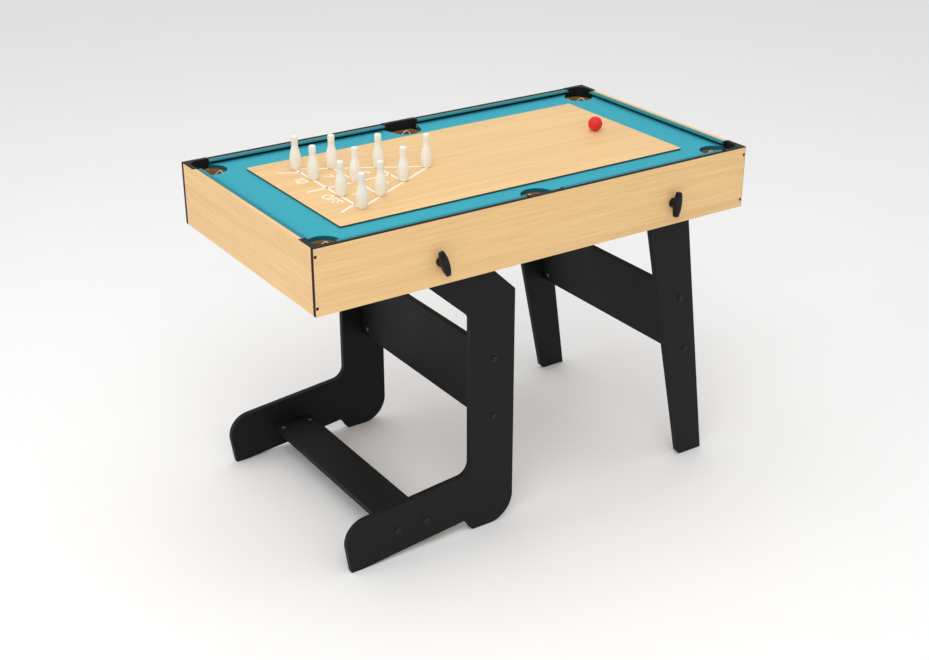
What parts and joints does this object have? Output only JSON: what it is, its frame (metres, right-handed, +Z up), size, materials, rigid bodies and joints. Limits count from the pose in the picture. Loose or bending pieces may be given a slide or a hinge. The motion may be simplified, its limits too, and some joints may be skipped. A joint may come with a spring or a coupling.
{
  "type": "folding games table",
  "caption": "Folding games table with a clothed pocket bed, a lift-off board with bowling pins and ball, a one-sided stand and folding straight legs.",
  "frame": {"origin": "on the floor under the middle of the table top", "axes": "+X along the table towards the straight legs, +Y from the front to the rear, +Z up"},
  "size_m": [1.1, 0.648, 0.8291],
  "materials": {
    "black_board": "matt black foil on fibreboard",
    "black_steel": "black oxide",
    "zinc_steel": "zinc plated",
    "maple_laminate": "satin maple print laminate",
    "black_edge_band": "black edge band",
    "raw_board": "bare fibreboard",
    "bed_cloth": "turquoise cloth",
    "cushion_cloth": "teal cloth over rubber",
    "cap_plastic": "moulded black plastic",
    "bag_cloth": "brown woven bag with white cord",
    "knob_plastic": "moulded black nylon",
    "printed_maple": "satin maple print with white scoring lines",
    "pin_plastic": "ivory white polyethylene",
    "ball_plastic": "red"
  },
  "bodies": {
    "stand": {"stand_leg_front": "black_board", "stand_leg_rear": "black_board", "stand_stretcher": "black_board", "foot_stretcher": "black_board", "stand_bolts": "black_steel", "stand_barrel_nuts": "zinc_steel", "stand_pivot_bushes": "zinc_steel"},
    "table_top": {"side_panel_front": "maple_laminate", "side_panel_rear": "maple_laminate", "end_panel_left": "maple_laminate", "end_panel_right": "maple_laminate", "edge_band_front": "black_edge_band", "edge_band_rear": "black_edge_band", "frame_screws": "black_steel", "bed_board": "raw_board", "bed_cloth": "bed_cloth", "bed_battens": "raw_board", "end_cleats": "raw_board", "corner_blocks": "raw_board", "cushion_left": "cushion_cloth", "cushion_right": "cushion_cloth", "cushion_front_left": "cushion_cloth", "cushion_front_right": "cushion_cloth", "cushion_rear_left": "cushion_cloth", "cushion_rear_right": "cushion_cloth", "cap_front_left": "cap_plastic", "cap_front_right": "cap_plastic", "cap_rear_left": "cap_plastic", "cap_rear_right": "cap_plastic", "cap_front_middle": "cap_plastic", "cap_rear_middle": "cap_plastic", "bag_front_left": "bag_cloth", "bag_front_right": "bag_cloth", "bag_rear_left": "bag_cloth", "bag_rear_right": "bag_cloth", "bag_front_middle": "bag_cloth", "bag_rear_middle": "bag_cloth"},
    "straight_legs": {"leg_front": "black_board", "leg_rear": "black_board", "leg_stretcher": "black_board", "leg_bolts": "black_steel", "leg_barrel_nuts": "zinc_steel", "leg_pivot_bushes": "zinc_steel"},
    "knob_stand_front": {"knob_stand_front": "knob_plastic"},
    "knob_stand_rear": {"knob_stand_rear": "knob_plastic"},
    "knob_leg_front": {"knob_leg_front": "knob_plastic"},
    "knob_leg_rear": {"knob_leg_rear": "knob_plastic"},
    "game_board": {"game_board": "printed_maple"},
    "ball": {"ball": "ball_plastic"},
    "pin_1": {"pin_1": "pin_plastic"},
    "pin_2": {"pin_2": "pin_plastic"},
    "pin_3": {"pin_3": "pin_plastic"},
    "pin_4": {"pin_4": "pin_plastic"},
    "pin_5": {"pin_5": "pin_plastic"},
    "pin_6": {"pin_6": "pin_plastic"},
    "pin_7": {"pin_7": "pin_plastic"},
    "pin_8": {"pin_8": "pin_plastic"},
    "pin_9": {"pin_9": "pin_plastic"},
    "pin_10": {"pin_10": "pin_plastic"}
  },
  "joints": [
    {"name": "table_tilt", "type": "hinge", "parent": "stand", "child": "table_top", "pos_m": [-0.266, 0, 0.672], "axis": [0, -1, 0], "range_deg": [0, 90]},
    {"name": "leg_fold", "type": "hinge", "parent": "table_top", "child": "straight_legs", "pos_m": [0.341, 0, 0.672], "axis": [0, 1, 0], "range_deg": [0, 81]},
    {"name": "knob_stand_front_turn", "type": "hinge", "parent": "stand", "child": "knob_stand_front", "pos_m": [-0.266, -0.301, 0.672], "axis": [0, -1, 0], "continuous": true},
    {"name": "knob_stand_rear_turn", "type": "hinge", "parent": "stand", "child": "knob_stand_rear", "pos_m": [-0.266, 0.301, 0.672], "axis": [0, 1, 0], "continuous": true},
    {"name": "knob_leg_front_turn", "type": "hinge", "parent": "straight_legs", "child": "knob_leg_front", "pos_m": [0.341, -0.301, 0.672], "axis": [0, -1, 0], "continuous": true},
    {"name": "knob_leg_rear_turn", "type": "hinge", "parent": "straight_legs", "child": "knob_leg_rear", "pos_m": [0.341, 0.301, 0.672], "axis": [0, 1, 0], "continuous": true},
    {"name": "board_lift", "type": "slide", "parent": "table_top", "child": "game_board", "axis": [0, 0, 1], "range_m": [0, 0.15]},
    {"name": "ball_lift", "type": "slide", "parent": "game_board", "child": "ball", "axis": [0, 0, 1], "range_m": [0, 0.1]},
    {"name": "pin_1_lift", "type": "slide", "parent": "game_board", "child": "pin_1", "axis": [0, 0, 1], "range_m": [0, 0.1]},
    {"name": "pin_2_lift", "type": "slide", "parent": "game_board", "child": "pin_2", "axis": [0, 0, 1], "range_m": [0, 0.1]},
    {"name": "pin_3_lift", "type": "slide", "parent": "game_board", "child": "pin_3", "axis": [0, 0, 1], "range_m": [0, 0.1]},
    {"name": "pin_4_lift", "type": "slide", "parent": "game_board", "child": "pin_4", "axis": [0, 0, 1], "range_m": [0, 0.1]},
    {"name": "pin_5_lift", "type": "slide", "parent": "game_board", "child": "pin_5", "axis": [0, 0, 1], "range_m": [0, 0.1]},
    {"name": "pin_6_lift", "type": "slide", "parent": "game_board", "child": "pin_6", "axis": [0, 0, 1], "range_m": [0, 0.1]},
    {"name": "pin_7_lift", "type": "slide", "parent": "game_board", "child": "pin_7", "axis": [0, 0, 1], "range_m": [0, 0.1]},
    {"name": "pin_8_lift", "type": "slide", "parent": "game_board", "child": "pin_8", "axis": [0, 0, 1], "range_m": [0, 0.1]},
    {"name": "pin_9_lift", "type": "slide", "parent": "game_board", "child": "pin_9", "axis": [0, 0, 1], "range_m": [0, 0.1]},
    {"name": "pin_10_lift", "type": "slide", "parent": "game_board", "child": "pin_10", "axis": [0, 0, 1], "range_m": [0, 0.1]}
  ],
  "couplings": [
    {"joint": "leg_fold", "follows": "table_tilt", "ratio": 0.9}
  ]
}
